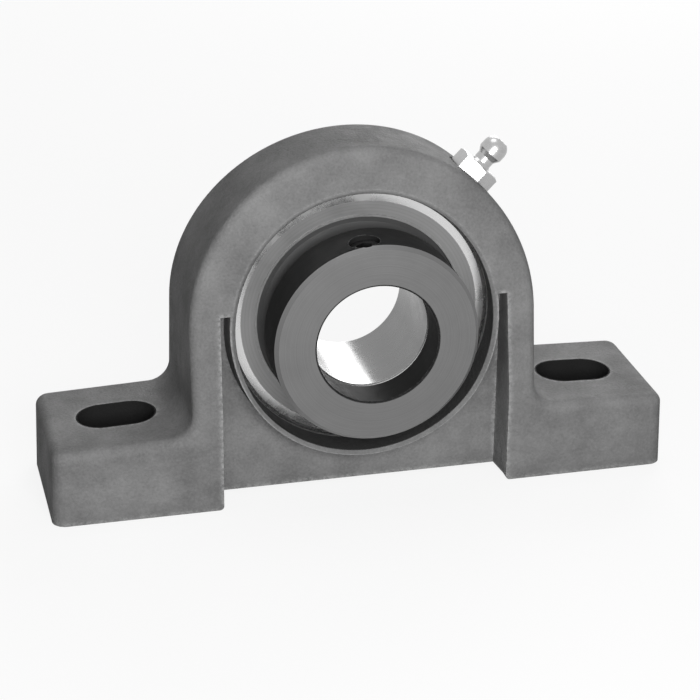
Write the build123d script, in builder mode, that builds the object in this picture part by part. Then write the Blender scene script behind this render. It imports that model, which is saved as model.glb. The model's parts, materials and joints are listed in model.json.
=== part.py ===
from build123d import *
from math import atan2, cos, radians, sin, tan
import os

os.makedirs("parts", exist_ok=True)

# Pillow block bearing for a 31.75 mm (1-1/4 in) shaft, in millimetres.
# The origin is the middle of the base, +X runs along the base, +Z is up and the collar faces -Y.
# Sizes start at the shaft and work outwards, so each piece follows the one that it fits.

# Shaft, rings and balls
bore_diameter = 31.75
inner_ring_wall = 5.319
ball_diameter = 11.112
ball_count = 9
outer_ring_wall = 3.694
outer_ring_chamfer = 1.0
raceway_clearance = 0.08
raceway_relief = 0.344
ring_chamfer = 0.6
lube_hole_radius = 1.0
lube_hole_edge = 0.1

# Ball cage
cage_sheet = 0.8
cage_half_band = 2.15
cage_inner_gap = 1.2
cage_outer_gap = 1.4
cage_pocket_clearance = 0.2
cage_end_gap = 0.744
rivet_radius = 0.8
rivet_head_radius = 1.4
rivet_head_height = 0.5
rivet_clearance = 0.02

# Seals, each a steel cap and backing with a rubber washer between them
seal_sheet = 0.5
seal_washer_thickness = 1.0
seal_recess = 0.2
seal_step = 1.4
seal_fit = 0.02
seal_cap_gap = 4.0
seal_cap_lip = 0.9
seal_backing_gap = 1.2
seal_washer_rim = 0.8
seal_lip_clearance = 0.1
seal_lip_root = 2.4
seal_lip_lean = 0.6
seal_lip_edge = 0.4

# Eccentric locking collar
collar_standoff = 5.7
collar_wall = 5.3
collar_chamfer = 1.0
collar_bore_chamfer = 0.35
collar_bore_clearance = 0.08
collar_shoulder_gap = 0.3
cam_length = 4.2
cam_wall = 4.425
cam_eccentricity = 0.8
cam_clearance = 0.4
cam_end_gap = 0.4
screw_rear_wall = 1.03
screw_front_wall = 0.93
drift_hole_radius = 3.0
drift_hole_depth = 5.0
drift_hole_angle = 130.0

# Set screw, 5/16 in
set_screw_radius = 3.97
set_screw_clearance = 0.08
set_screw_length = 7.9
set_screw_lift = 1.6
set_screw_tilt = -6.0
set_screw_key_across_flats = 4.0
set_screw_key_depth = 3.6
set_screw_point_chamfer = 1.2

# Housing casting
seat_clearance = 0.1
seat_floor = 11.6
arch_wall = 10.2
arch_top_thickness = 21.0
base_depth = 40.6
foot_height = 20.3
foot_rise = 1.3
foot_end_draft = 0.66
foot_corner_radius = 3.6
draft_rise = 0.8
draft_blend_radius = 50.0
leg_fillet = 6.0
cast_edge_radius = 2.7
web_thickness = 23.0
pocket_gap = 1.2
pocket_draft = 6.0
pocket_rise = 5.0
boss_wall = 2.1
seat_half_width = 11.0
mouth_chamfer = 0.8
base_relief = 1.2
groove_near = 0.5
groove_far = 7.0
groove_depth = 1.0
load_notch_clearance = 0.3

# Mounting slots
slot_length = 20.6
slot_width = 13.5
slot_inner_wall = 1.0
slot_outer_wall = 9.6

# Lock pin under the insert
lock_pin_radius = 2.0
lock_pin_clearance = 0.06
lock_pin_entry = 1.5
lock_pin_floor = 5.4
lock_pin_end_gap = 0.2
align_angle = 2.0

# Grease fitting, 1/8 in pipe thread
fitting_angle = 44.0
fitting_thread_radius = 5.0
fitting_thread_clearance = 0.05
fitting_thread_taper = 0.3
fitting_thread_end_wall = 1.3
fitting_spot_depth = 0.7
fitting_wrench_gap = 0.8
fitting_hex_shoulder = 0.55
fitting_hex_height = 4.4
fitting_hex_bevel = 0.6
fitting_hex_crown_inset = 0.15
fitting_neck_wall = 1.0
fitting_neck_flare = 0.45
fitting_neck_height = 2.3
fitting_head_lip = 0.95
fitting_head_height = 5.8
fitting_head_bulge = 0.45
fitting_head_flat = 1.9
grease_passage_radius = 1.5
check_ball_radius = 1.19
check_ball_side_gap = 0.31
check_ball_seat_overlap = 0.39
check_ball_seat_gap = 0.06
check_ball_seat_depth = 1.4
spring_wire_radius = 0.16
spring_wire_sides = 8
spring_inset = 0.34
spring_turns = 5
spring_end_gap = 0.12
spring_ledge_width = 0.2

# Radii of the insert
bore_radius = bore_diameter / 2
ball_radius = ball_diameter / 2
pitch_radius = bore_radius + inner_ring_wall + ball_radius
insert_radius = pitch_radius + ball_radius + outer_ring_wall
raceway_radius = ball_radius + raceway_relief
inner_land_radius = pitch_radius - cage_half_band - cage_inner_gap
outer_shoulder_radius = pitch_radius + cage_half_band + cage_outer_gap
seal_seat_radius = outer_shoulder_radius + seal_step
cam_radius = bore_radius + cam_wall
collar_bore_radius = bore_radius + collar_bore_clearance
collar_radius = cam_radius + cam_clearance + cam_eccentricity + collar_wall

# Places along the shaft, from the balls out to the front of the collar
cage_pocket_radius = ball_radius + cage_pocket_clearance
seal_seat_face = cage_pocket_radius + cage_sheet + cage_end_gap
backing_face = seal_seat_face + seal_sheet
washer_face = backing_face + seal_washer_thickness
cap_face = washer_face + seal_sheet
outer_half_width = cap_face + seal_recess
collar_rear = -outer_half_width - collar_standoff
land_front = collar_rear + collar_shoulder_gap
cam_front = land_front - cam_length
recess_front = cam_front - cam_end_gap
screw_along = recess_front - screw_rear_wall - set_screw_radius
collar_front = screw_along - set_screw_radius - screw_front_wall

# Housing sizes that follow the insert
seat_radius = insert_radius + seat_clearance
centre_height = insert_radius + seat_floor
arch_radius = insert_radius + arch_wall
arch_top = centre_height + arch_radius
foot_top = foot_height + foot_rise
lean_angle = atan2((base_depth - arch_top_thickness) / 2, arch_top - foot_top)
draft_start_height = foot_top + draft_rise + draft_blend_radius * tan(lean_angle / 2)
mouth_radius = (seat_radius**2 - seat_half_width**2) ** 0.5
boss_radius = mouth_radius + boss_wall
pocket_half_width = boss_radius + pocket_gap
pocket_flare = (base_depth - web_thickness) / 2 * tan(radians(pocket_draft))
bolt_spacing = 2 * (arch_radius + leg_fillet + slot_inner_wall) + slot_length
base_length = bolt_spacing + slot_length + 2 * slot_outer_wall
touching = 0.01

centre = Vector(0, 0, centre_height)
shaft_axis = Axis(centre, (0, 1, 0))
# Half sections are drawn with X as the distance along the shaft and Y as the radius, then revolved.
half_section = Plane(origin=centre, x_dir=(0, 1, 0), z_dir=(1, 0, 0))
# Front view at the shaft's centre: X to the right, Y up, extruded towards the collar.
front_view = Plane(origin=centre, x_dir=(1, 0, 0), z_dir=(0, -1, 0))


def save(piece, name):
    """Name a finished piece and write it to its own file."""
    piece.label = name
    export_step(piece, f"parts/{name}.step")


def front_plane(distance):
    """Front view plane at a distance from the centre, positive towards the rear."""
    return front_view.offset(-distance)


def radial_plane(angle, along, radius):
    """Plane square to a radius, at an angle from straight up towards +X, its normal outwards."""
    outwards = Vector(sin(radians(angle)), 0, cos(radians(angle)))
    origin = centre + Vector(0, along, 0) + outwards * radius
    return Plane(origin=origin, x_dir=(0, 1, 0), z_dir=outwards)


def band(start, end, inner, outer):
    """Rectangle in a half section, from start to end along the shaft and inner to outer radius."""
    with Locations((start, inner)):
        Rectangle(end - start, outer - inner, align=(Align.MIN, Align.MIN))


def circles(part, radius):
    """Circular edges of one radius."""
    rounds = part.edges().filter_by(GeomType.CIRCLE)
    return rounds.filter_by(lambda edge: abs(edge.radius - radius) < touching)


# Housing blank: the front outline, cut to the side profile
with BuildPart() as housing_blank:
    with BuildSketch(Plane.XZ) as front_outline:
        # The feet rise a little towards the legs and their ends lean inwards, as castings do.
        with BuildLine() as feet_line:
            Polyline(
                (-base_length / 2, 0),
                (-base_length / 2 + foot_end_draft, foot_height),
                (-arch_radius, foot_top),
                (arch_radius, foot_top),
                (base_length / 2 - foot_end_draft, foot_height),
                (base_length / 2, 0),
                close=True,
            )
        make_face()
        Rectangle(2 * arch_radius, centre_height, align=(Align.CENTER, Align.MIN))
        with Locations((0, centre_height)):
            Circle(arch_radius)
        leg_corners = front_outline.vertices().filter_by(
            lambda v: abs(v.Y - foot_top) < touching and abs(abs(v.X) - arch_radius) < touching
        )
        fillet(leg_corners, leg_fillet)
    extrude(amount=base_depth, both=True)

    # The faces stand upright to just over the feet, then curve into the casting's draft.
    with BuildSketch(Plane.YZ) as side_profile:
        with BuildLine() as side_line:
            Polyline(
                (-base_depth / 2, 0),
                (-base_depth / 2, draft_start_height),
                (-arch_top_thickness / 2, arch_top),
                (arch_top_thickness / 2, arch_top),
                (base_depth / 2, draft_start_height),
                (base_depth / 2, 0),
                close=True,
            )
        make_face()
        draft_starts = side_profile.vertices().filter_by(
            lambda v: abs(v.Y - draft_start_height) < touching
        )
        fillet(draft_starts, draft_blend_radius)
    extrude(amount=base_length, both=True, mode=Mode.INTERSECT)

    # Rounded corners at the ends of the feet
    foot_middle = (base_length - foot_end_draft) / 2
    fillet(housing_blank.edges().filter_by(
        lambda edge: abs(abs((edge @ 0.5).X) - foot_middle) < touching and abs((edge % 0.5).Z) > 0.9),
        foot_corner_radius)

    # Rounded cast edges, round the front and rear faces and the tops of the feet
    def on_outline(edge):
        """True for an edge between a front or rear face and the outside, or round a foot's top."""
        middle = edge @ 0.5
        if middle.Z < foot_height - touching:
            return False
        on_foot = abs(middle.X) > arch_radius + leg_fillet
        beside = [face for face in housing_blank.faces() if edge in face.edges()]
        upright = [abs(face.normal_at(middle).Y) > 0.9 for face in beside]
        return on_foot or upright.count(True) == 1

    fillet(housing_blank.edges().filter_by(on_outline), cast_edge_radius)

# Housing: web pockets, spherical seat and its mouths, slots and drilled holes
with BuildPart() as housing:
    add(housing_blank.part)
    # The pockets lie between the legs and under the boss that holds the seat.
    for side in (1, -1):
        with BuildSketch(front_view.offset(side * web_thickness / 2)) as pocket:
            with Locations((0, pocket_rise)):
                Rectangle(2 * pocket_half_width, centre_height + pocket_rise,
                          align=(Align.CENTER, Align.MAX))
            Circle(boss_radius, mode=Mode.SUBTRACT)
        extrude(amount=side * base_depth / 2, taper=-pocket_draft, mode=Mode.SUBTRACT)
    # Relief between the feet, whose inner bottom corners are rounded
    relief_half_width = pocket_half_width + pocket_flare + base_relief
    with BuildSketch(Plane.XZ) as relief:
        Rectangle(2 * relief_half_width, base_relief, align=(Align.CENTER, Align.MIN))
        with Locations((-relief_half_width, base_relief), (relief_half_width, base_relief)):
            Circle(base_relief, mode=Mode.SUBTRACT)
    extrude(amount=base_depth, both=True, mode=Mode.SUBTRACT)

    # Spherical seat, open to both faces through round mouths
    with Locations(centre):
        Sphere(seat_radius, mode=Mode.SUBTRACT)
    with BuildSketch(front_plane(base_depth / 2)) as mouths:
        Circle(mouth_radius)
    extrude(amount=base_depth, mode=Mode.SUBTRACT)

    def on_mouth(edge):
        """True for an edge where a mouth meets the front or rear face."""
        middle = edge @ 0.5
        from_shaft = ((middle.X - centre.X) ** 2 + (middle.Z - centre.Z) ** 2) ** 0.5
        return abs(from_shaft - mouth_radius) < touching and abs(middle.Y) > web_thickness / 2 - touching

    chamfer(housing.edges().filter_by(on_mouth), mouth_chamfer)

    groove_radius = seat_radius + groove_depth
    with BuildSketch(half_section) as grease_groove:
        band(groove_near, groove_far, inner_land_radius, groove_radius)
    revolve(axis=shaft_axis, mode=Mode.SUBTRACT)

    # Loading notches at the rear let the insert in edgeways, before it is swung square. They cut
    # the boss right through.
    load_notch_radius = boss_radius + load_notch_clearance
    with BuildSketch(front_plane(base_depth / 2)) as load_notches:
        Circle(load_notch_radius)
        Rectangle(2 * load_notch_radius, 2 * (outer_half_width + load_notch_clearance), mode=Mode.INTERSECT)
    extrude(amount=base_depth / 2, mode=Mode.SUBTRACT)

    with BuildSketch(Plane.XY) as slots:
        with GridLocations(bolt_spacing, 0, 2, 1):
            SlotOverall(slot_length, slot_width)
    extrude(amount=foot_top, mode=Mode.SUBTRACT)

    fitting_seat = arch_radius - fitting_spot_depth
    fitting_thread_depth = fitting_seat - groove_radius - fitting_thread_end_wall
    fitting_hex_inradius = fitting_thread_radius + fitting_hex_shoulder
    with Locations(radial_plane(fitting_angle, 0, arch_radius)):
        CounterBoreHole(
            radius=fitting_thread_radius + fitting_thread_clearance,
            counter_bore_radius=fitting_hex_inradius / cos(radians(30)) + fitting_wrench_gap,
            counter_bore_depth=fitting_spot_depth,
            depth=fitting_spot_depth + fitting_thread_depth,
        )
    with BuildSketch(radial_plane(fitting_angle, 0, inner_land_radius)) as grease_passage:
        Circle(grease_passage_radius)
    extrude(amount=fitting_seat - inner_land_radius, mode=Mode.SUBTRACT)

    insert_bottom = seat_floor
    lock_pin_depth = seat_floor - base_relief - lock_pin_floor
    with BuildSketch(Plane.XY.offset(insert_bottom - lock_pin_depth)) as pin_hole:
        Circle(lock_pin_radius + lock_pin_clearance)
    extrude(amount=lock_pin_depth, mode=Mode.SUBTRACT)
save(housing.part, "housing")

# Lock pin: stands in the bottom of the seat and holds the outer ring's notch
pin_bottom = insert_bottom - lock_pin_depth + lock_pin_end_gap
with BuildPart() as lock_pin:
    with BuildSketch(Plane.XY.offset(pin_bottom)) as pin_round:
        Circle(lock_pin_radius)
    extrude(amount=insert_bottom + lock_pin_entry - pin_bottom)
    chamfer(lock_pin.edges().filter_by(GeomType.CIRCLE), lock_pin_end_gap)
save(lock_pin.part, "lock_pin")

# Outer ring: spherical outside, deep groove raceway, a seal seat at each end
with BuildPart() as outer_ring:
    with BuildSketch(half_section) as outer_section:
        Circle(insert_radius)
        with Locations((0, outer_shoulder_radius)):
            Rectangle(2 * outer_half_width, insert_radius, align=(Align.CENTER, Align.MIN),
                      mode=Mode.INTERSECT)
        with Locations((0, pitch_radius + ball_radius + raceway_clearance - raceway_radius)):
            Circle(raceway_radius, mode=Mode.SUBTRACT)
        for start in (-outer_half_width, seal_seat_face):
            with Locations((start, outer_shoulder_radius)):
                Rectangle(outer_half_width - seal_seat_face, seal_step,
                          align=(Align.MIN, Align.MIN), mode=Mode.SUBTRACT)
    revolve(axis=shaft_axis)
    rim_radius = (insert_radius**2 - outer_half_width**2) ** 0.5
    chamfer(circles(outer_ring, rim_radius), outer_ring_chamfer)

    lube_hole_along = groove_far - lube_hole_radius - lube_hole_edge
    with Locations(radial_plane(0, lube_hole_along, insert_radius)):
        Hole(lube_hole_radius, depth=insert_radius - inner_land_radius)
    notch_top = insert_bottom + lock_pin_entry + lock_pin_end_gap
    notch_swing = insert_radius * sin(radians(align_angle))
    notch_half_length = lock_pin_radius + notch_swing + lock_pin_end_gap
    with Locations((0, 0, notch_top)):
        Box(2 * (lock_pin_radius + lock_pin_clearance), 2 * notch_half_length, lock_pin_depth,
            align=(Align.CENTER, Align.CENTER, Align.MAX), mode=Mode.SUBTRACT)
save(outer_ring.part, "outer_ring")

# Inner ring: raceway and land, with the eccentric end that takes the collar
with BuildPart() as inner_ring:
    with BuildSketch(half_section) as inner_section:
        band(land_front, outer_half_width, 0, inner_land_radius)
        with Locations((0, pitch_radius - ball_radius - raceway_clearance + raceway_radius)):
            Circle(raceway_radius, mode=Mode.SUBTRACT)
    revolve(axis=shaft_axis)
    land_ends = circles(inner_ring, inner_land_radius).sort_by(Axis.Y)
    chamfer([land_ends[0], land_ends[-1]], ring_chamfer)
    with BuildSketch(front_plane(land_front)) as cam:
        with Locations((0, -cam_eccentricity)):
            Circle(cam_radius)
    extrude(amount=cam_length)
    with BuildSketch(front_plane(outer_half_width)) as shaft_hole:
        Circle(bore_radius)
    extrude(amount=outer_half_width - cam_front, mode=Mode.SUBTRACT)
    chamfer(circles(inner_ring, bore_radius), ring_chamfer)
save(inner_ring.part, "inner_ring")

# Balls
for number in range(ball_count):
    turn = radians(90 + number * 360 / ball_count)
    with BuildPart() as ball:
        with Locations(centre + Vector(pitch_radius * cos(turn), 0, pitch_radius * sin(turn))):
            Sphere(ball_radius)
    save(ball.part, f"ball_{number + 1}")

# Ball cage: two pressed halves with a cup over every ball, riveted between the balls
cage_inner = pitch_radius - cage_half_band
cage_outer = pitch_radius + cage_half_band
half_step = 180 / ball_count
with BuildPart() as cage_rear:
    with Locations(front_view):
        with PolarLocations(pitch_radius, ball_count, start_angle=90):
            Sphere(cage_pocket_radius + cage_sheet)
    with BuildSketch(half_section) as cage_band:
        band(0, cage_pocket_radius + cage_sheet, cage_inner, cage_outer)
    revolve(axis=shaft_axis, mode=Mode.INTERSECT)
    with BuildSketch(half_section) as cage_flat:
        band(0, cage_sheet, cage_inner, cage_outer)
    revolve(axis=shaft_axis)
    with Locations(front_view):
        with PolarLocations(pitch_radius, ball_count, start_angle=90):
            Sphere(cage_pocket_radius, mode=Mode.SUBTRACT)
    with BuildSketch(front_plane(cage_sheet)) as rivet_holes:
        with PolarLocations(pitch_radius, ball_count, start_angle=90 + half_step):
            Circle(rivet_radius + rivet_clearance)
    extrude(amount=cage_sheet, mode=Mode.SUBTRACT)
save(cage_rear.part, "cage_rear")

with BuildPart() as cage_front:
    mirror(cage_rear.part, about=Plane.XZ)
save(cage_front.part, "cage_front")

with BuildPart() as cage_rivets:
    with BuildSketch(front_plane(cage_sheet)) as shanks:
        with PolarLocations(pitch_radius, ball_count, start_angle=90 + half_step):
            Circle(rivet_radius)
    extrude(amount=2 * cage_sheet)
    for face_distance in (cage_sheet + rivet_head_height, -cage_sheet):
        with BuildSketch(front_plane(face_distance)) as heads:
            with PolarLocations(pitch_radius, ball_count, start_angle=90 + half_step):
                Circle(rivet_head_radius)
        extrude(amount=rivet_head_height)
save(cage_rivets.part, "cage_rivets")

# Seals: backing, rubber washer and cap, stacked outwards from the seat in the outer ring
seal_outer_radius = seal_seat_radius - seal_fit
with BuildPart() as rear_seal_backing:
    with BuildSketch(half_section) as backing_section:
        band(seal_seat_face, backing_face, inner_land_radius + seal_backing_gap, seal_outer_radius)
    revolve(axis=shaft_axis)
save(rear_seal_backing.part, "rear_seal_backing")

lip_radius = inner_land_radius + seal_lip_clearance
washer_outer_radius = seal_seat_radius - seal_washer_rim
with BuildPart() as rear_seal_lip:
    with BuildSketch(half_section) as lip_section:
        with BuildLine() as lip_line:
            Polyline(
                (backing_face, washer_outer_radius),
                (washer_face, washer_outer_radius),
                (washer_face, lip_radius + seal_lip_root),
                (washer_face + seal_lip_lean, lip_radius),
                (washer_face + seal_lip_lean - seal_lip_edge, lip_radius),
                (backing_face, lip_radius + seal_lip_root),
                close=True,
            )
        make_face()
    revolve(axis=shaft_axis)
save(rear_seal_lip.part, "rear_seal_lip")

cap_inner_radius = inner_land_radius + seal_cap_gap
with BuildPart() as rear_seal_cap:
    with BuildSketch(half_section) as cap_section:
        band(washer_face, cap_face, cap_inner_radius, seal_outer_radius)
        band(washer_face, washer_face + seal_cap_lip, cap_inner_radius, cap_inner_radius + seal_sheet)
    revolve(axis=shaft_axis)
save(rear_seal_cap.part, "rear_seal_cap")

for rear_piece, name in (
    (rear_seal_backing, "front_seal_backing"),
    (rear_seal_lip, "front_seal_lip"),
    (rear_seal_cap, "front_seal_cap"),
):
    with BuildPart() as front_piece:
        mirror(rear_piece.part, about=Plane.XZ)
    save(front_piece.part, name)

# Locking collar: an eccentric recess over the inner ring's cam, then a plain bore for the shaft
collar_width = collar_rear - collar_front
with BuildPart() as locking_collar:
    with BuildSketch(front_plane(collar_rear)) as collar_round:
        Circle(collar_radius)
    extrude(amount=collar_width)
    chamfer(locking_collar.edges(), collar_chamfer)
    with BuildSketch(front_plane(collar_rear)) as collar_bore:
        Circle(collar_bore_radius)
    extrude(amount=collar_width, mode=Mode.SUBTRACT)
    with BuildSketch(front_plane(collar_rear)) as recess:
        with Locations((0, -cam_eccentricity)):
            Circle(cam_radius + cam_clearance)
    extrude(amount=collar_rear - recess_front, mode=Mode.SUBTRACT)
    chamfer(circles(locking_collar, collar_bore_radius).sort_by(Axis.Y)[0], collar_bore_chamfer)
    with Locations(radial_plane(set_screw_tilt, screw_along, collar_radius)):
        Hole(set_screw_radius + set_screw_clearance, depth=collar_radius - bore_radius / 2)
    with Locations(radial_plane(drift_hole_angle, screw_along, collar_radius)):
        Hole(drift_hole_radius, depth=drift_hole_depth)
save(locking_collar.part, "locking_collar")

# Set screw: hexagon socket, its point held clear of the shaft
screw_point = bore_radius + set_screw_lift
with BuildPart() as collar_set_screw:
    with BuildSketch(radial_plane(set_screw_tilt, screw_along, screw_point)) as screw_round:
        Circle(set_screw_radius)
    extrude(amount=set_screw_length)
    screw_ends = collar_set_screw.edges().filter_by(GeomType.CIRCLE).sort_by(Axis.Z)
    chamfer(screw_ends[0], set_screw_point_chamfer)
    chamfer(screw_ends[-1], set_screw_point_chamfer / 3)
    with BuildSketch(radial_plane(set_screw_tilt, screw_along, screw_point + set_screw_length)) as key:
        RegularPolygon(set_screw_key_across_flats / 2, 6, major_radius=False)
    extrude(amount=-set_screw_key_depth, mode=Mode.SUBTRACT)
save(collar_set_screw.part, "collar_set_screw")

# Grease fitting: pipe thread, hexagon, neck and nipple head round a stepped bore
tilt = radians(fitting_angle)
fitting_axis = Axis(centre, (sin(tilt), 0, cos(tilt)))
fitting_section = Plane(origin=centre, x_dir=(0, 1, 0), z_dir=(cos(tilt), 0, -sin(tilt)))
fitting_bore_radius = check_ball_radius + check_ball_side_gap
fitting_mouth_radius = check_ball_radius - check_ball_seat_overlap
fitting_neck_radius = fitting_bore_radius + fitting_neck_wall
fitting_head_radius = fitting_neck_radius + fitting_head_lip
spring_coil_radius = check_ball_radius - spring_inset
fitting_throat_radius = spring_coil_radius - spring_wire_radius - spring_ledge_width
fitting_bottom = fitting_seat - fitting_thread_depth + fitting_thread_clearance
hex_top = fitting_seat + fitting_hex_height
head_base = hex_top + fitting_neck_height
head_top = head_base + fitting_head_height
ball_seat = head_top - check_ball_seat_depth
spring_ledge = hex_top
with BuildPart() as fitting_hexagon:
    with BuildSketch(radial_plane(fitting_angle, 0, fitting_seat)) as hexagon:
        RegularPolygon(fitting_hex_inradius, 6, major_radius=False)
    extrude(amount=fitting_hex_height)
    # Turned bevel on the hexagon's top corners
    bevel_radius = fitting_hex_inradius / cos(radians(30)) + fitting_hex_crown_inset
    with BuildSketch(fitting_section) as turned_section:
        with BuildLine() as turned_line:
            Polyline(
                (0, fitting_seat - touching),
                (bevel_radius, fitting_seat - touching),
                (bevel_radius, hex_top - fitting_hex_bevel),
                (fitting_hex_inradius - fitting_hex_crown_inset, hex_top + touching),
                (0, hex_top + touching),
                close=True,
            )
        make_face()
    revolve(axis=fitting_axis, mode=Mode.INTERSECT)

with BuildPart() as grease_fitting:
    with BuildSketch(fitting_section) as fitting_outline:
        with BuildLine() as fitting_line:
            lower_line = Polyline(
                (0, fitting_bottom),
                (fitting_thread_radius - fitting_thread_taper, fitting_bottom),
                (fitting_thread_radius, fitting_seat),
                (fitting_neck_radius + fitting_neck_flare, hex_top),
                (fitting_neck_radius, hex_top + fitting_neck_height / 3),
                (fitting_neck_radius, head_base),
                (fitting_head_radius, head_base + fitting_head_height / 4),
                (fitting_head_radius, head_base + fitting_head_height / 2),
            )
            head_curve = SagittaArc(lower_line @ 1, (fitting_head_flat, head_top), -fitting_head_bulge)
            Polyline(head_curve @ 1, (0, head_top), (0, fitting_bottom))
        make_face()
    revolve(axis=fitting_axis)
    add(fitting_hexagon.part)
    with BuildSketch(fitting_section) as fitting_bore:
        with BuildLine() as bore_line:
            Polyline(
                (0, fitting_bottom),
                (fitting_throat_radius, fitting_bottom),
                (fitting_throat_radius, spring_ledge),
                (fitting_bore_radius, spring_ledge),
                (fitting_bore_radius, ball_seat),
                (fitting_mouth_radius, ball_seat),
                (fitting_mouth_radius, head_top),
                (0, head_top),
                close=True,
            )
        make_face()
    revolve(axis=fitting_axis, mode=Mode.SUBTRACT)
save(grease_fitting.part, "grease_fitting")

# Check ball, a hair below its seat in the head
seat_drop = (check_ball_radius**2 - fitting_mouth_radius**2) ** 0.5
check_ball_level = ball_seat - seat_drop - check_ball_seat_gap
with BuildPart() as grease_check_ball:
    with Locations(radial_plane(fitting_angle, 0, check_ball_level)):
        Sphere(check_ball_radius)
save(grease_check_ball.part, "grease_check_ball")

# Coil spring between the ledge and the check ball, its fine wire drawn with eight sides
spring_start = spring_ledge + spring_wire_radius + spring_end_gap
spring_reach = (check_ball_radius + spring_wire_radius + spring_end_gap) ** 2 - spring_coil_radius**2
spring_end = check_ball_level - spring_reach**0.5
spring_plane = radial_plane(fitting_angle, 0, spring_start)
with BuildPart() as grease_spring:
    with BuildLine() as coil:
        Helix(
            (spring_end - spring_start) / spring_turns,
            spring_end - spring_start,
            spring_coil_radius,
            center=spring_plane.origin,
            direction=spring_plane.z_dir,
        )
    with BuildSketch(Plane(origin=coil.line @ 0, z_dir=coil.line % 0)) as wire:
        RegularPolygon(spring_wire_radius, spring_wire_sides)
    sweep(is_frenet=True)
save(grease_spring.part, "grease_spring")
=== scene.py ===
# %% [markdown]
# # A cast iron pillow block, dressed for its portrait
#
# The solid model of the bearing comes in as a fixed frame: every piece is already at its real size
# and place. What is left for Blender is the finish of each surface, the floor, the light and the
# camera. All lengths here are in metres.

# %% Load the frame and note its box
import json
import math

import bmesh
import bpy
from mathutils import Matrix, Vector


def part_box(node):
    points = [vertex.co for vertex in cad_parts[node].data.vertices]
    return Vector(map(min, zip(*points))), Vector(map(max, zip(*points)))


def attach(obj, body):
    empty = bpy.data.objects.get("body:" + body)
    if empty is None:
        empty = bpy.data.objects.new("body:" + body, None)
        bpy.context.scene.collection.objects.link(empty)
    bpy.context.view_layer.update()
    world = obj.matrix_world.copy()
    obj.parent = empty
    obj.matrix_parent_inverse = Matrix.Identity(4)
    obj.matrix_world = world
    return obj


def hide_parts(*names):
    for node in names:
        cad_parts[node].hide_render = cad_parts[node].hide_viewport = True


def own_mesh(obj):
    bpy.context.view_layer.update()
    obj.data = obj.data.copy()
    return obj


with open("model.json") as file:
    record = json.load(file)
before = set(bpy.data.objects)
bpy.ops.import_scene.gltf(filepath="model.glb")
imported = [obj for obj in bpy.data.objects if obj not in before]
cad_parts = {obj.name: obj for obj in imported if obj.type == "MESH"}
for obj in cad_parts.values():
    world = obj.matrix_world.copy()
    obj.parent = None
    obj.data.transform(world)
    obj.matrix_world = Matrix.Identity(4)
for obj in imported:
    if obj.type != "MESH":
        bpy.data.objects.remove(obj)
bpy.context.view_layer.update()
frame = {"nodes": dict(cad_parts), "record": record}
nodes = frame["nodes"]
for stand_in in list(bpy.data.materials):
    bpy.data.materials.remove(stand_in)
print("pieces in the frame:", len(nodes))

# %% [markdown]
# ## Sizes that the finishes need
#
# Some finishes change from place to place on one piece: the housing is bare metal where a tool has
# been, the collar is bright only on its front face. Where those places lie could be typed in, but
# then a change of the solids would leave the paint behind. They are read from the frame instead, and
# only small margins and the radius of the seat's mouth, which the frame doesn't give, are typed in.

# %% Sizes read from the frame
MM = 0.001
base_low, base_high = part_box("housing")
ring_low, ring_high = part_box("outer_ring")
collar_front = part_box("locking_collar")[0].y
mounts = {mount["name"]: mount for mount in frame["record"]["mounts"]}
shaft_height = mounts["shaft_bore"]["pos_m"][2]
shaft_radius = mounts["shaft_bore"]["dims"]["r_mm"] * MM
shaft_centre = Vector((0, 0, shaft_height))
ball_seat_radius = (ring_high.x - ring_low.x) / 2
print("base length", round((base_high - base_low).x, 4), "shaft height", round(shaft_height, 4))
print("radius of the insert", round(ball_seat_radius, 4), "front of the collar", round(collar_front, 4))

# %% [markdown]
# ## Nodes with fewer words
#
# A material is a small network, and making each node by hand takes four lines. These helpers take
# the settings as names and the inputs as a dictionary, where a value sets a socket and another
# node's output is linked to it. The same helpers fill node groups, because a group is also a tree.

# %% Node helpers
def node(tree, kind, inputs=None, **settings):
    """Add one node, set its options, and fill or link its inputs."""
    made = tree.nodes.new(kind)
    for option, value in settings.items():
        setattr(made, option, value)
    for socket, value in (inputs or {}).items():
        if isinstance(value, bpy.types.NodeSocket):
            tree.links.new(value, made.inputs[socket])
        else:
            made.inputs[socket].default_value = value
    return made


def calculate(tree, operation, first, second=0.0, third=0.0):
    """One step of arithmetic on numbers."""
    return node(tree, "ShaderNodeMath", {0: first, 1: second, 2: third}, operation=operation).outputs[0]


def remap(tree, value, low, high, to_low=0.0, to_high=1.0):
    """Stretch the range from low to high over another range, clamped at both ends."""
    made = node(tree, "ShaderNodeMapRange", {
        "Value": value,
        "From Min": low,
        "From Max": high,
        "To Min": to_low,
        "To Max": to_high,
    })
    return made.outputs["Result"]


def noise(tree, position, scale, detail=3.0, roughness=0.55):
    """Noise from 0 to 1; scale is in cells per metre."""
    made = node(tree, "ShaderNodeTexNoise", {
        "Vector": position,
        "Scale": scale,
        "Detail": detail,
        "Roughness": roughness,
    })
    return made.outputs[0]


# %% [markdown]
# ## Blending numbers and colours
#
# The Mix node has one set of sockets for numbers and another for colours. Both sets bear the same
# names, so the sockets are told apart by their order in the node. Most finishes here are one grey
# that wanders a little to either side, so that has a helper of its own.

# %% Helpers for blends and greys
FACTOR = 0
FIRST_NUMBER = 2
SECOND_NUMBER = 3
MIXED_NUMBER = 0
FIRST_COLOUR = 6
SECOND_COLOUR = 7
MIXED_COLOUR = 2


def mix_number(tree, share, first, second):
    """Blend two numbers by a share from 0 to 1."""
    ends = {FACTOR: share, FIRST_NUMBER: first, SECOND_NUMBER: second}
    return node(tree, "ShaderNodeMix", ends).outputs[MIXED_NUMBER]


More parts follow.
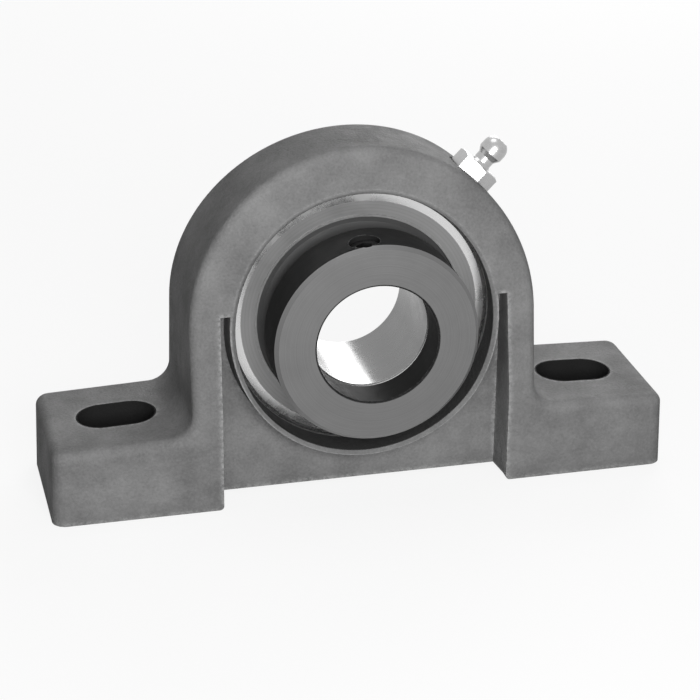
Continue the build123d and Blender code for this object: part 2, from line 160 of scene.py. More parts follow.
def mix_colour(tree, share, first, second):
    """Blend two colours by a share from 0 to 1."""
    ends = {FACTOR: share, FIRST_COLOUR: first, SECOND_COLOUR: second}
    return node(tree, "ShaderNodeMix", ends, data_type="RGBA").outputs[MIXED_COLOUR]


def grey(value):
    """A neutral grey as a colour."""
    return (value, value, value, 1.0)


def uneven_grey(tree, pattern, value, contrast):
    """A grey that a pattern darkens and lightens by the same share."""
    return mix_colour(tree, pattern, grey(value * (1 - contrast)), grey(value * (1 + contrast)))


# %% [markdown]
# ## Node groups
#
# An effect that several finishes share is built once as a node group with named sockets, and each
# material sets its own values on it. A group here only puts out masks and heights: the shader, the
# Bump node and everything that the light decides stay in the material.

# %% Group helpers
FLOAT = "NodeSocketFloat"
VECTOR = "NodeSocketVector"


def new_group(name, inputs, outputs):
    """An empty node group with named sockets, and its input and output nodes."""
    group = bpy.data.node_groups.new(name, "ShaderNodeTree")
    for label, kind, default in inputs:
        socket = group.interface.new_socket(name=label, in_out="INPUT", socket_type=kind)
        if default is not None:
            socket.default_value = default
    for label in outputs:
        group.interface.new_socket(name=label, in_out="OUTPUT", socket_type=FLOAT)
    return group, group.nodes.new("NodeGroupInput"), group.nodes.new("NodeGroupOutput")


def use_group(tree, group, inputs):
    """Place a group in a tree."""
    return node(tree, "ShaderNodeGroup", inputs, node_tree=group).outputs


# %% [markdown]
# ## The skin of a sand casting
#
# Iron poured into sand keeps the print of the grains: a fine, even roughness of a fraction of a
# millimetre, with broader dips where the sand packed loosely. It could be displaced geometry, but
# that takes millions of faces for something a tenth of a millimetre deep. One noise at the size of
# the grain gives the print, a coarser one gives the dips, and a third, in blotches as wide as a
# thumb, varies the colour of the skin.

# %% Group: cast skin
DIPS_SCALE = 0.22
GRAIN_IN_HEIGHT = 0.45
GRAIN_IN_MOTTLE = 0.35
BLOTCHES_PER_METRE = 70.0
MOTTLE_RANGE = (0.35, 0.65)

cast_skin, given, result = new_group(
    "cast skin",
    [("Position", VECTOR, None), ("Grain per metre", FLOAT, 1500.0)],
    ["Height", "Mottle"],
)
spot = given.outputs["Position"]
grain = noise(cast_skin, spot, given.outputs["Grain per metre"], detail=3.0, roughness=0.6)
dips_per_metre = calculate(cast_skin, "MULTIPLY", given.outputs["Grain per metre"], DIPS_SCALE)
dips = noise(cast_skin, spot, dips_per_metre, detail=2.0, roughness=0.5)
grain_share = calculate(cast_skin, "MULTIPLY", grain, GRAIN_IN_HEIGHT)
skin_height = calculate(cast_skin, "MULTIPLY_ADD", dips, 1 - GRAIN_IN_HEIGHT, grain_share)
blotches = noise(cast_skin, spot, BLOTCHES_PER_METRE, detail=4.0, roughness=0.6)
blotch_share = calculate(cast_skin, "MULTIPLY", blotches, 1 - GRAIN_IN_MOTTLE)
mottle = calculate(cast_skin, "MULTIPLY_ADD", grain, GRAIN_IN_MOTTLE, blotch_share)
cast_skin.links.new(skin_height, result.inputs["Height"])
cast_skin.links.new(remap(cast_skin, mottle, *MOTTLE_RANGE), result.inputs["Mottle"])
print("group:", cast_skin.name)

# %% [markdown]
# ## Marks of the lathe and the grinding wheel
#
# A turned or ground face carries fine rings round its axis. They are one random number for each
# distance from the shaft, so a one-dimensional noise read at the radius draws them. The distance
# along the shaft is added in, so the same group also works on the outside of a cylinder. The pitch
# of the marks sets whether it looks turned, ground or honed.

# %% Group: marks round the shaft
ALONG_SHARE = 0.37

round_marks, given, result = new_group(
    "marks round the shaft",
    [("Position", VECTOR, None), ("Marks per metre", FLOAT, 4000.0)],
    ["Height", "Radius"],
)
from_shaft = node(round_marks, "ShaderNodeVectorMath", {
    0: given.outputs["Position"],
    1: tuple(shaft_centre),
}, operation="SUBTRACT").outputs[0]
offset = node(round_marks, "ShaderNodeSeparateXYZ", {0: from_shaft}).outputs
flat = node(round_marks, "ShaderNodeCombineXYZ", {"X": offset["X"], "Z": offset["Z"]}).outputs[0]
radius = node(round_marks, "ShaderNodeVectorMath", {0: flat}, operation="LENGTH").outputs["Value"]
travel = calculate(round_marks, "MULTIPLY_ADD", offset["Y"], ALONG_SHARE, radius)
rings = node(round_marks, "ShaderNodeTexNoise", {
    "W": calculate(round_marks, "MULTIPLY", travel, given.outputs["Marks per metre"]),
    "Scale": 1.0,
    "Detail": 2.0,
}, noise_dimensions="1D").outputs[0]
round_marks.links.new(rings, result.inputs["Height"])
round_marks.links.new(radius, result.inputs["Radius"])
print("group:", round_marks.name)

# %% [markdown]
# ## Rubbed edges and handled faces
#
# Edges are where a coating thins and metal shines first. The Bevel node gives the normal that a
# rounded edge would have; where it differs from the real normal there is an edge, and a noise
# breaks the mask up so it doesn't look drawn. Smudges from handling only change how sharp a
# reflection is, so they are a second output for the roughness.

# %% Group: wear
# On the housing this edge mask also carries a painted highlight on the rounded cast edges.
FLAT_AGREEMENT = 0.995
EDGE_AGREEMENT = 0.90
CHIPS_PER_METRE = 900.0
CHIPS_RANGE = (0.35, 0.6)
SMUDGES_PER_METRE = 160.0
SMUDGES_RANGE = (0.3, 0.7)

wear, given, result = new_group(
    "wear",
    [("Position", VECTOR, None), ("Edge width", FLOAT, 0.0006)],
    ["Edge", "Smudge"],
)
spot = given.outputs["Position"]
rounded = node(wear, "ShaderNodeBevel", {"Radius": given.outputs["Edge width"]}, samples=6).outputs[0]
true_normal = node(wear, "ShaderNodeNewGeometry").outputs["Normal"]
agreement = node(wear, "ShaderNodeVectorMath", {0: rounded, 1: true_normal}, operation="DOT_PRODUCT")
edge = remap(wear, agreement.outputs["Value"], FLAT_AGREEMENT, EDGE_AGREEMENT)
chips = noise(wear, spot, CHIPS_PER_METRE, detail=3.0, roughness=0.6)
broken = remap(wear, chips, *CHIPS_RANGE)
wear.links.new(calculate(wear, "MULTIPLY", edge, broken), result.inputs["Edge"])
smudge = noise(wear, spot, SMUDGES_PER_METRE, detail=4.0, roughness=0.65)
wear.links.new(remap(wear, smudge, *SMUDGES_RANGE), result.inputs["Smudge"])
print("groups:", [group.name for group in bpy.data.node_groups])

# %% [markdown]
# ## Painted shade in the recesses
#
# The pockets beside the web, the corners where the legs meet the feet and the way in to the seat
# get a painted shade. The Ambient Occlusion node looks round from every point and says how much of
# the view is open nearby, and where little of it is, the colour is darkened as if shade fell there.
# A noise loosens the border. The material darkens its colour by this mask.

# %% Group: painted shade in recesses
PATCHES_PER_METRE = 420.0
LOOSENING = 0.25
UNSHADED_LEVEL = 0.80
FULL_SHADE_LEVEL = 0.30

recess_shade, given, result = new_group(
    "recess_shade",
    [("Position", VECTOR, None), ("Reach", FLOAT, 0.010)],
    ["Dirt"],
)
open_share = node(recess_shade, "ShaderNodeAmbientOcclusion", {
    "Distance": given.outputs["Reach"],
}, samples=8).outputs["AO"]
patches = noise(recess_shade, given.outputs["Position"], PATCHES_PER_METRE)
loosened = calculate(recess_shade, "MULTIPLY_ADD", patches, LOOSENING, open_share)
recess_shade.links.new(remap(recess_shade, loosened, UNSHADED_LEVEL, FULL_SHADE_LEVEL), result.inputs["Dirt"])
print("group:", recess_shade.name)

# %% [markdown]
# ## Starting a material
#
# Every finish starts the same way: a Principled shader, and Object coordinates as the place that
# all patterns read. The pieces sit at the origin unturned, so those coordinates are the real
# position in metres and one grain size is right for every piece.

# %% Material helpers
def new_material(name):
    """A material with its tree, its shader and the position that patterns read."""
    material = bpy.data.materials.new(name)
    material.use_nodes = True
    tree = material.node_tree
    shader = tree.nodes["Principled BSDF"]
    position = tree.nodes.new("ShaderNodeTexCoord").outputs["Object"]
    return material, tree, shader, position


def bump(tree, shader, height, depth, strength=1.0):
    """Let a height change the shading; depth is its full range in metres."""
    made = node(tree, "ShaderNodeBump", {"Height": height, "Distance": depth, "Strength": strength})
    tree.links.new(made.outputs[0], shader.inputs["Normal"])


# %% [markdown]
# ## Cast iron under grey enamel
#
# The housing has three finishes on one piece: a thin flat grey enamel over the cast skin, bare cut
# metal where a tool has been, in the round seat and under the feet, and a near-black painted shade
# in the slots and in the two mouths of the seat. The enamel also gets a painted shade in its
# recesses, and its rounded edges are painted paler, partly as wear and partly as a painted
# highlight. Three materials with painted boundaries would need the mesh cut up. Masks worked out
# from the distance to the middle of the seat, to the shaft and to the middle of a slot tell them
# apart instead, and mix every setting.
# The enamel is flat, so its Specular IOR Level is low: with the usual 0.5 the flanks, seen at a
# shallow angle, would mirror the white room and look paler than the front.

# %% Where the housing is machined
SEAT_MARGIN = 0.3 * MM
UNDERSIDE = 0.05 * MM

cast_iron, tree, shader, position = new_material("cast_iron")
skin = use_group(tree, cast_skin, {"Position": position})
marks = use_group(tree, round_marks, {"Position": position, "Marks per metre": 5000.0})
# The wide edge width catches the rounded cast edges, which are painted paler: partly wear, partly a
# painted highlight.
worn = use_group(tree, wear, {"Position": position, "Edge width": 2.6 * MM})
place = node(tree, "ShaderNodeSeparateXYZ", {0: position}).outputs
from_seat = node(tree, "ShaderNodeVectorMath", {
    0: position,
    1: tuple(shaft_centre),
}, operation="DISTANCE").outputs["Value"]
in_seat = calculate(tree, "LESS_THAN", from_seat, ball_seat_radius + SEAT_MARGIN)
under_feet = calculate(tree, "LESS_THAN", place["Z"], UNDERSIDE)
cut = calculate(tree, "MAXIMUM", in_seat, under_feet)
print("cut metal out to", round((ball_seat_radius + SEAT_MARGIN) / MM, 2), "mm from the middle")

# %% Where the housing gets painted shade
SLOT_MARGIN = 0.35 * MM
MOUTH_RADIUS = 34.4 * MM
MOUTH_MARGIN = 0.1 * MM
MOUTH_CHAMFER = 1.0 * MM
SHADE_REACH = 12.0 * MM

slot_sizes = mounts["mounting_slots"]["dims"]
slot_place = slot_sizes["spacing_x_mm"] / 2 * MM
slot_radius = slot_sizes["hole_r_mm"] * MM
slot_straight = slot_sizes["slot_length_mm"] / 2 * MM - slot_radius
from_middle = calculate(tree, "ABSOLUTE", place["X"])
beside = calculate(tree, "ABSOLUTE", calculate(tree, "SUBTRACT", from_middle, slot_place))
past_straight = calculate(tree, "MAXIMUM", calculate(tree, "SUBTRACT", beside, slot_straight), 0.0)
across_squared = calculate(tree, "POWER", place["Y"], 2.0)
distance_squared = calculate(tree, "MULTIPLY_ADD", past_straight, past_straight, across_squared)
from_slot = calculate(tree, "SQRT", distance_squared)
# The slots and the mouths of the seat get a near-black painted shade: these masks find them.
shaded_slot = calculate(tree, "LESS_THAN", from_slot, slot_radius + SLOT_MARGIN)
shaded_mouth = calculate(tree, "LESS_THAN", marks["Radius"], MOUTH_RADIUS + MOUTH_MARGIN)
past_mouth = calculate(tree, "GREATER_THAN", marks["Radius"], MOUTH_RADIUS + MOUTH_CHAMFER)
# Painted shade in the recesses: the Ambient Occlusion mask darkens the colour where shade falls.
recess_darkening = use_group(tree, recess_shade, {"Position": position, "Reach": SHADE_REACH})["Dirt"]
print("slots", round(slot_place / MM, 2), "mm out, with a radius of", round(slot_radius / MM, 2), "mm")

# %% Colour of the enamel and of the cut metal
ENAMEL_GREY = 0.215
CUT_GREY = 0.30
SLOT_SHADE_GREY = 0.02
MOUTH_SHADE_GREY = 0.055
ENAMEL_CONTRAST = 0.24
CUT_CONTRAST = 0.15
EDGE_WEAR_AND_HIGHLIGHT_GREY = 2.4 * ENAMEL_GREY
EDGE_WEAR_AND_HIGHLIGHT_SHARE = 0.6
RECESS_SHADE_GREY = 0.25 * ENAMEL_GREY
RECESS_SHADE_SHARE = 0.6

enamel = uneven_grey(tree, skin["Mottle"], ENAMEL_GREY, ENAMEL_CONTRAST)
paler_edge = calculate(tree, "MULTIPLY", worn["Edge"], past_mouth)
paler_edge = calculate(tree, "MULTIPLY", paler_edge, EDGE_WEAR_AND_HIGHLIGHT_SHARE)
recess_shaded = calculate(tree, "MULTIPLY", recess_darkening, RECESS_SHADE_SHARE)
# The layers paint a highlight on the edges and shade in the recesses, the slots and the mouths.
layers = [
    (paler_edge, EDGE_WEAR_AND_HIGHLIGHT_GREY),
    (recess_shaded, RECESS_SHADE_GREY),
    (shaded_slot, SLOT_SHADE_GREY),
    (shaded_mouth, MOUTH_SHADE_GREY),
]
for mask, shade in layers:
    enamel = mix_colour(tree, mask, enamel, grey(shade))
cut_colour = uneven_grey(tree, marks["Height"], CUT_GREY, CUT_CONTRAST)
tree.links.new(mix_colour(tree, cut, enamel, cut_colour), shader.inputs["Base Color"])
print("enamel grey", ENAMEL_GREY, "cut metal grey", CUT_GREY)

# %% Gloss and grain of the housing
ENAMEL_ROUGHNESS = (0.55, 0.70)
CUT_ROUGHNESS = 0.40
CUT_METALLIC = 0.85
SKIN_DEPTH = 0.50 * MM
SKIN_STRENGTH = 0.9
CUT_DEPTH_SHARE = 0.06

enamel_roughness = remap(tree, worn["Smudge"], 0.0, 1.0, *ENAMEL_ROUGHNESS)
roughness = mix_number(tree, cut, enamel_roughness, CUT_ROUGHNESS)
tree.links.new(roughness, shader.inputs["Roughness"])
tree.links.new(remap(tree, cut, 0.0, 1.0, 0.0, CUT_METALLIC), shader.inputs["Metallic"])
shader.inputs["Specular IOR Level"].default_value = 0.03
heights = mix_number(tree, cut, skin["Height"], marks["Height"])
depth_share = remap(tree, cut, 0.0, 1.0, 1.0, CUT_DEPTH_SHARE)
bump(tree, shader, calculate(tree, "MULTIPLY", heights, depth_share), SKIN_DEPTH, SKIN_STRENGTH)
print("material:", cast_iron.name)

# %% [markdown]
# ## Ground, pressed and stamped steel
#
# The rings are ground, the cage is pressed from sheet and the seal caps are stamped and darkened.
# All of them turn round the shaft while they are made, so they share one recipe: marks round the
# shaft in the colour and in a very shallow bump, rubbed edges and smudges. Only the grey, the gloss
# and the pitch of the marks differ, so a function makes them. The bore of the inner ring is honed
# and oiled, and darker than the ground faces: a mask by the radius gives it its own grey. Each call
# gives the name, the grey of the faces and the grey of the bore, and then the rest by name.

# %% Steel with marks round the shaft
BORE_LAND = 0.3 * MM
MARK_CONTRAST = 0.18
MARK_DEPTH = 0.003 * MM
WORN_SHARE = 0.5
WORN_FACTOR = 1.7
PALEST_STEEL = 0.8
WIPED = -0.05
SMUDGED = 0.07


def steel(name, colour, bore_colour, roughness, marks_per_metre, metallic=1.0):
    """Bare or coated steel with marks round the shaft, rubbed edges and smudges."""
    material, tree, shader, position = new_material(name)
    marks = use_group(tree, round_marks, {"Position": position, "Marks per metre": marks_per_metre})
    worn = use_group(tree, wear, {"Position": position, "Edge width": 0.4 * MM})
    in_bore = calculate(tree, "LESS_THAN", marks["Radius"], shaft_radius + BORE_LAND)
    middle = mix_colour(tree, in_bore, grey(colour), grey(bore_colour))
    strength = remap(tree, marks["Height"], 0.0, 1.0, 1 - MARK_CONTRAST, 1 + MARK_CONTRAST)
    base = node(tree, "ShaderNodeVectorMath", {0: middle, 1: strength}, operation="MULTIPLY").outputs[0]
    edge = calculate(tree, "MULTIPLY", worn["Edge"], WORN_SHARE)
    edge_grey = grey(min(colour * WORN_FACTOR, PALEST_STEEL))
    tree.links.new(mix_colour(tree, edge, base, edge_grey), shader.inputs["Base Color"])
    gloss = remap(tree, worn["Smudge"], 0.0, 1.0, roughness + WIPED, roughness + SMUDGED)
    tree.links.new(gloss, shader.inputs["Roughness"])
    shader.inputs["Metallic"].default_value = metallic
    bump(tree, shader, marks["Height"], MARK_DEPTH)
    print("material:", name)
    return material


ground_steel = steel("ground_steel", 0.64, 0.20, roughness=0.26, marks_per_metre=9000.0)
pressed_steel = steel("pressed_steel", 0.42, 0.42, roughness=0.36, marks_per_metre=2500.0)
seal_steel = steel("seal_steel", 0.24, 0.24, roughness=0.45, marks_per_metre=1500.0, metallic=0.6)

# %% [markdown]
# ## The collar: black oxide with a turned face
#
# The collar is blackened all over, and its front face is turned once more afterwards, so the face
# and its chamfer are pale grey while the outside and the bore are nearly black. That near-black is
# partly the oxide and partly a painted shade, for the shade that falls on the outside and in the
# bore. The boundary is a plane across the shaft, so the distance along Y decides between the two.
# Black oxide is a crust and not a metal, so Metallic follows the same mask. It is also nearly
# without gloss, so its Specular IOR Level is low, or the bore would mirror the white room.

# %% Oxide and turned face
FACE_DEPTH = 1.05 * MM
OXIDE_AND_SHADE_GREY = 0.02
OXIDE_CONTRAST = 0.20
FACE_GREY = 0.165
FACE_CONTRAST = 0.14
FACE_METALLIC = 0.85
BORE_CHAMFER = 0.55 * MM
COLLAR_EDGE_SHARE = 0.4
COLLAR_EDGE_GREY = 1.5 * FACE_GREY
COLLAR_ROUGHNESS = (0.40, 0.52)
TURNING_DEPTH = 0.012 * MM

turned_steel, tree, shader, position = new_material("turned_steel")
marks = use_group(tree, round_marks, {"Position": position, "Marks per metre": 3200.0})
worn = use_group(tree, wear, {"Position": position, "Edge width": 0.4 * MM})
place = node(tree, "ShaderNodeSeparateXYZ", {0: position}).outputs
in_front = calculate(tree, "LESS_THAN", place["Y"], collar_front + FACE_DEPTH)
outside_bore = calculate(tree, "GREATER_THAN", marks["Radius"], shaft_radius + BORE_CHAMFER)
face = calculate(tree, "MULTIPLY", in_front, outside_bore)
# The oxide grey is partly the collar's black oxide and partly painted shade on its outside and in its
# bore.
oxide_and_shade = uneven_grey(tree, marks["Height"], OXIDE_AND_SHADE_GREY, OXIDE_CONTRAST)
bare = uneven_grey(tree, marks["Height"], FACE_GREY, FACE_CONTRAST)
paler_edge = calculate(tree, "MULTIPLY", worn["Edge"], COLLAR_EDGE_SHARE)
collar_colour = mix_colour(tree, paler_edge, mix_colour(tree, face, oxide_and_shade, bare), grey(COLLAR_EDGE_GREY))
tree.links.new(collar_colour, shader.inputs["Base Color"])
tree.links.new(remap(tree, worn["Smudge"], 0.0, 1.0, *COLLAR_ROUGHNESS), shader.inputs["Roughness"])
tree.links.new(remap(tree, face, 0.0, 1.0, 0.0, FACE_METALLIC), shader.inputs["Metallic"])
shader.inputs["Specular IOR Level"].default_value = 0.02
bump(tree, shader, marks["Height"], TURNING_DEPTH)
print("material:", turned_steel.name)

# %% [markdown]
# ## Metal without lathe marks
#
# The balls are polished, the grease fitting is zinc plated, the screw is black oxide and the spring
# is drawn wire. None of them shows marks round the shaft, so this recipe has a faint grain that
# runs the same way in all directions, with smudges and brighter edges. Each call gives the name, the
# grey, the roughness, the grains in a metre and how deep they are.

# %% Balls, fitting, screw and spring
GRAIN_CONTRAST = 0.1
BRIGHT_EDGE_SHARE = 0.35
BRIGHT_EDGE_FACTOR = 1.8
PALEST_METAL = 0.9
GLOSS_RANGE = (0.8, 1.3)


def plain_metal(name, colour, roughness, grain_per_metre, grain_depth):
    """Metal without a lathe's marks: a faint grain, smudges and bright edges."""
    material, tree, shader, position = new_material(name)
    fine = noise(tree, position, grain_per_metre)
    worn = use_group(tree, wear, {"Position": position, "Edge width": 0.3 * MM})
    base = uneven_grey(tree, fine, colour, GRAIN_CONTRAST)
    edge = calculate(tree, "MULTIPLY", worn["Edge"], BRIGHT_EDGE_SHARE)
    edge_grey = grey(min(colour * BRIGHT_EDGE_FACTOR, PALEST_METAL))
    tree.links.new(mix_colour(tree, edge, base, edge_grey), shader.inputs["Base Color"])
    gloss = remap(tree, worn["Smudge"], 0.0, 1.0, *[roughness * factor for factor in GLOSS_RANGE])
    tree.links.new(gloss, shader.inputs["Roughness"])
    shader.inputs["Metallic"].default_value = 1.0
    bump(tree, shader, fine, grain_depth)
    print("material:", name)
    return material


ball_steel = plain_metal("ball_steel", 0.72, 0.08, 400.0, 0.0005 * MM)
plated_steel = plain_metal("plated_steel", 0.44, 0.26, 1200.0, 0.004 * MM)
black_steel = plain_metal("black_steel", 0.06, 0.40, 1500.0, 0.006 * MM)
spring_steel = plain_metal("spring_steel", 0.45, 0.28, 1500.0, 0.002 * MM)

# %% [markdown]
# ## Nitrile rubber of the seal
#
# The washer inside each seal is moulded black rubber. Rubber is never quite black: it blooms a
# little grey in patches, and it is smooth only where the mould was turned, so it gets cloudy
# colour and roughness and faint rings.

# %% Black rubber
RUBBER_GREY = 0.022
BLOOM_GREY = 0.045
RUBBER_ROUGHNESS = (0.5, 0.68)
MOULD_DEPTH = 0.02 * MM
MOULD_STRENGTH = 0.5

seal_rubber, tree, shader, position = new_material("seal_rubber")
marks = use_group(tree, round_marks, {"Position": position, "Marks per metre": 1800.0})
bloom = noise(tree, position, 260.0, detail=4.0, roughness=0.6)
rubber_colour = mix_colour(tree, bloom, grey(RUBBER_GREY), grey(BLOOM_GREY))
tree.links.new(rubber_colour, shader.inputs["Base Color"])
tree.links.new(remap(tree, bloom, 0.3, 0.7, *RUBBER_ROUGHNESS), shader.inputs["Roughness"])
bump(tree, shader, marks["Height"], MOULD_DEPTH, MOULD_STRENGTH)
print("materials:", len(bpy.data.materials))

# %% [markdown]
# ## Dress the pieces
#
# The record names a material slot for every piece, so the finishes are handed out from it: no piece
# can be forgotten, and a new one would stop the script here instead of staying grey.

# %% Give every node its finish
finishes = {material.name: material for material in (
    cast_iron, turned_steel, ground_steel, pressed_steel, seal_steel, seal_rubber,
    ball_steel, plated_steel, black_steel, spring_steel,
)}
for subpart in frame["record"]["subparts"]:
    mesh = nodes[subpart["node"]].data
    mesh.materials.clear()
    mesh.materials.append(finishes[subpart["material_slot"]])

# %% [markdown]
# ## The spring of the grease valve
#
# Inside the nipple a spring of a few turns holds the check ball on its seat, and gives when a grease
# gun pushes the ball in. The spring of the solids is stiff, so the ball would run into it. Here it is
# wound afresh: one ring of the wire's section is carried round the axis by a spin with a small step
# along it, which is a helix. Its foot stands on the ledge, and it ends just short of the ball. A curve
# with a bevel would look the same.

# %% Sizes of the spring
WIRE_RADIUS = 0.15 * MM
SPRING_TURNS = 5
STEPS_PER_TURN = 24
WIRE_SIDES = 12
SPRING_GAP = 0.12 * MM

joints = {joint["name"]: joint for joint in frame["record"]["behaviour"]["joints"]}
lift = joints["check_ball_lift"]
nipple_axis = Vector(lift["axis"]).normalized()
ball_low, ball_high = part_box("grease_check_ball")
ball_centre = (ball_low + ball_high) / 2
ball_radius = (ball_high.y - ball_low.y) / 2
wound_low, wound_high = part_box("grease_spring")
coil_radius = (wound_high.y - wound_low.y) / 2 - WIRE_RADIUS
ball_level = (ball_centre - shaft_centre).dot(nipple_axis)
foot_level = (lift["deforming_nodes"][0]["fixed_end_z_m"] - shaft_height) / nipple_axis.z + WIRE_RADIUS
touch = ball_radius + WIRE_RADIUS + SPRING_GAP
spring_length = ball_level - math.sqrt(touch ** 2 - coil_radius ** 2) - foot_level
print("spring", round(spring_length / MM, 2), "mm long,", round(coil_radius / MM, 2), "mm in radius")

# %% Wind the spring
MERGE_DISTANCE = 0.001 * MM
SIDES_OF_A_QUAD = 4

spring_steps = SPRING_TURNS * STEPS_PER_TURN
rise_per_step = spring_length / spring_steps
shape = bmesh.new()
section = bmesh.ops.create_circle(shape, segments=WIRE_SIDES, radius=WIRE_RADIUS, cap_ends=True)
upright = Matrix.Rotation(math.pi / 2, 3, "X")
bmesh.ops.rotate(shape, verts=section["verts"], cent=(0, 0, 0), matrix=upright)
bmesh.ops.translate(shape, verts=section["verts"], vec=(coil_radius, 0, 0))
far_end = bmesh.ops.duplicate(shape, geom=list(shape.faces))
bmesh.ops.spin(
    shape,
    geom=[item for item in far_end["geom"] if not isinstance(item, bmesh.types.BMVert)],
    cent=(0, 0, 0),
    axis=(0, 0, 1),
    dvec=(0, 0, rise_per_step),
    angle=SPRING_TURNS * 2 * math.pi,
    steps=spring_steps,
)
bmesh.ops.remove_doubles(shape, verts=list(shape.verts), dist=MERGE_DISTANCE)
bmesh.ops.recalc_face_normals(shape, faces=list(shape.faces))
# The side of the wire is made of quads, and its two ends stay flat.
for facet in shape.faces:
    facet.smooth = len(facet.verts) == SIDES_OF_A_QUAD
foot = shaft_centre + nipple_axis * foot_level
place_spring = Matrix.Translation(foot) @ nipple_axis.to_track_quat("Z", "Y").to_matrix().to_4x4()
bmesh.ops.transform(shape, matrix=place_spring, verts=list(shape.verts))
print("spring wound in", spring_steps, "steps")

# %% Sort the spring's corners and faces
def sort_by_place(elements, place):
    """Put corners or faces in one fixed order, because merging leaves a new order on each run."""
    for number, element in enumerate(sorted(elements, key=place)):
        element.index = number
    elements.sort()


sort_by_place(shape.verts, lambda corner: tuple(corner.co))
sort_by_place(shape.faces, lambda facet: tuple(facet.calc_center_median()))
print("corners", len(shape.verts), "faces", len(shape.faces))

# %% Put the spring in the nipple
spring_mesh = bpy.data.meshes.new("wound_spring")
shape.to_mesh(spring_mesh)
shape.free()
spring_mesh.materials.append(spring_steel)
wound_spring = bpy.data.objects.new("wound_spring", spring_mesh)
bpy.context.scene.collection.objects.link(wound_spring)
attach(wound_spring, "housing")
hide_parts("grease_spring")
travel = abs(lift["range_m"][0])
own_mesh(wound_spring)
print("spring faces:", len(wound_spring.data.polygons))

# %% [markdown]
# ## Floor
#
# The object stands on a plain white floor that runs past the frame on all sides. To the camera and
# in reflections the floor is mostly its own white, so that it reads as paper, while a share of real
# shading keeps the shadow under the feet. It throws less light back on the object than white paper
# would, because the flanks of the block are dark in the photograph.

# %% Telling apart the rays that show a surface
def seen_directly(tree):
    """1 for rays from the camera, a gloss or glass, and 0 for rays that carry light to the block."""
    rays = node(tree, "ShaderNodeLightPath").outputs
    seen = calculate(tree, "MAXIMUM", rays["Is Camera Ray"], rays["Is Glossy Ray"])
    return calculate(tree, "MAXIMUM", seen, rays["Is Transmission Ray"])


# %% A grid for the floor
FLOOR_HALF = 6.0

floor_mesh = bpy.data.meshes.new("floor")
shape = bmesh.new()
bmesh.ops.create_grid(shape, x_segments=1, y_segments=1, size=FLOOR_HALF)
shape.to_mesh(floor_mesh)
shape.free()
floor = bpy.data.objects.new("floor", floor_mesh)
bpy.context.scene.collection.objects.link(floor)
print("floor", 2 * FLOOR_HALF, "m wide")

# %% Paper
OWN_WHITE_SHARE = 0.86
PAPER_GREY = 0.88
BOUNCE_GREY = 0.12
PAPER_ROUGHNESS = 0.9

paper = bpy.data.materials.new("paper")
paper.use_nodes = True
tree = paper.node_tree
seen = seen_directly(tree)
paper_shader = tree.nodes["Principled BSDF"]
paper_colour = mix_colour(tree, seen, grey(BOUNCE_GREY), grey(PAPER_GREY))
tree.links.new(paper_colour, paper_shader.inputs["Base Color"])
paper_shader.inputs["Roughness"].default_value = PAPER_ROUGHNESS
own_white = node(tree, "ShaderNodeEmission", {"Color": grey(1.0), "Strength": 1.0})
share = calculate(tree, "MULTIPLY", seen, OWN_WHITE_SHARE)
paper_mix = node(tree, "ShaderNodeMixShader", {
    0: share,
    1: paper_shader.outputs[0],
    2: own_white.outputs[0],
})
tree.links.new(paper_mix.outputs[0], tree.nodes["Material Output"].inputs["Surface"])
floor_mesh.materials.append(paper)
print("material:", paper.name)

# %% [markdown]
# ## Light
#
# The photograph was lit from the front and from above: the fronts are the brightest faces, most of
# all on the left, the tops come next and the flanks are dark. A soft box low in front, a little to
# the left, and a second one overhead do that. The front one stands close, so its light falls off to
# the right as in the photograph. The room adds a little even light. A box behind, on the right,
# lights the back and the right end, which the camera doesn't see, and lays a gleam in the bore. The
# watts are chosen so that a face turned to one of the boxes shows its colour about as it is written.

# %% The room
ROOM_LEVEL = 0.06

world = bpy.data.worlds.new("studio")
bpy.context.scene.world = world
world.use_nodes = True
tree = world.node_tree
level = remap(tree, seen_directly(tree), 0.0, 1.0, ROOM_LEVEL, 1.0)
tree.links.new(level, tree.nodes["Background"].inputs["Strength"])
tree.nodes["Background"].inputs["Color"].default_value = grey(1.0)
print("light of the room on the block:", ROOM_LEVEL)


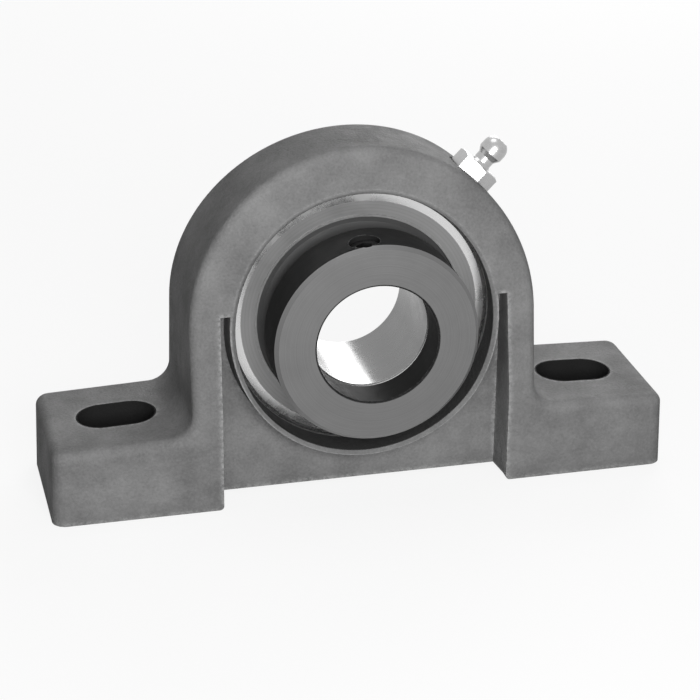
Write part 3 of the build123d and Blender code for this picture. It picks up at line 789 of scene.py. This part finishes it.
# %% Soft boxes
def soft_box(name, azimuth, elevation, distance, size, watts):
    """A square lamp on an orbit round the block, turned towards it; azimuth 0 is in front."""
    lamp = bpy.data.lights.new(name, "AREA")
    lamp.shape = "SQUARE"
    lamp.size = size
    lamp.energy = watts
    holder = bpy.data.objects.new(name, lamp)
    turn = math.radians(azimuth)
    rise = math.radians(elevation)
    out = Vector((math.sin(turn) * math.cos(rise), -math.cos(turn) * math.cos(rise), math.sin(rise)))
    holder.location = shaft_centre + out * distance
    holder.rotation_euler = out.to_track_quat("Z", "Y").to_euler()
    bpy.context.scene.collection.objects.link(holder)
    print(name, "soft box at", [round(value, 2) for value in holder.location])


soft_box("front", azimuth=-7.0, elevation=20.0, distance=0.50, size=0.22, watts=2.35)
soft_box("overhead", azimuth=170.0, elevation=80.0, distance=0.90, size=0.50, watts=1.6)
soft_box("rear", azimuth=152.0, elevation=18.0, distance=1.05, size=0.60, watts=7.0)

# %% [markdown]
# ## The camera of the photograph
#
# The feet, the slots and the arch fix where the camera stood: a little to the left, 24 degrees up,
# with a long lens. Its place is given as an orbit round a point near the middle of the block.

# %% Camera
CAMERA_AZIMUTH = math.radians(-14.17)
CAMERA_ELEVATION = math.radians(24.23)
CAMERA_ROLL = math.radians(0.61)
CAMERA_DISTANCE = 0.5976
CAMERA_TARGET = Vector((0.0, 0.0, 0.03328))
FOCAL_PIXELS = 2229.9
IMAGE_PIXELS = 700
SENSOR_WIDTH = 36.0
NEAREST_VISIBLE = 0.01

towards_camera = Vector((
    math.sin(CAMERA_AZIMUTH) * math.cos(CAMERA_ELEVATION),
    -math.cos(CAMERA_AZIMUTH) * math.cos(CAMERA_ELEVATION),
    math.sin(CAMERA_ELEVATION),
))
camera_data = bpy.data.cameras.new("camera")
camera_data.sensor_width = SENSOR_WIDTH
camera_data.lens = FOCAL_PIXELS / IMAGE_PIXELS * SENSOR_WIDTH
camera_data.clip_start = NEAREST_VISIBLE
camera = bpy.data.objects.new("camera", camera_data)
camera.location = CAMERA_TARGET + towards_camera * CAMERA_DISTANCE
level_view = towards_camera.to_track_quat("Z", "Y").to_matrix()
camera.rotation_euler = (level_view @ Matrix.Rotation(CAMERA_ROLL, 3, "Z")).to_euler()
bpy.context.scene.collection.objects.link(camera)
bpy.context.scene.camera = camera
bpy.context.scene.view_settings.view_transform = "Standard"
print("lens", round(camera_data.lens, 1), "mm")
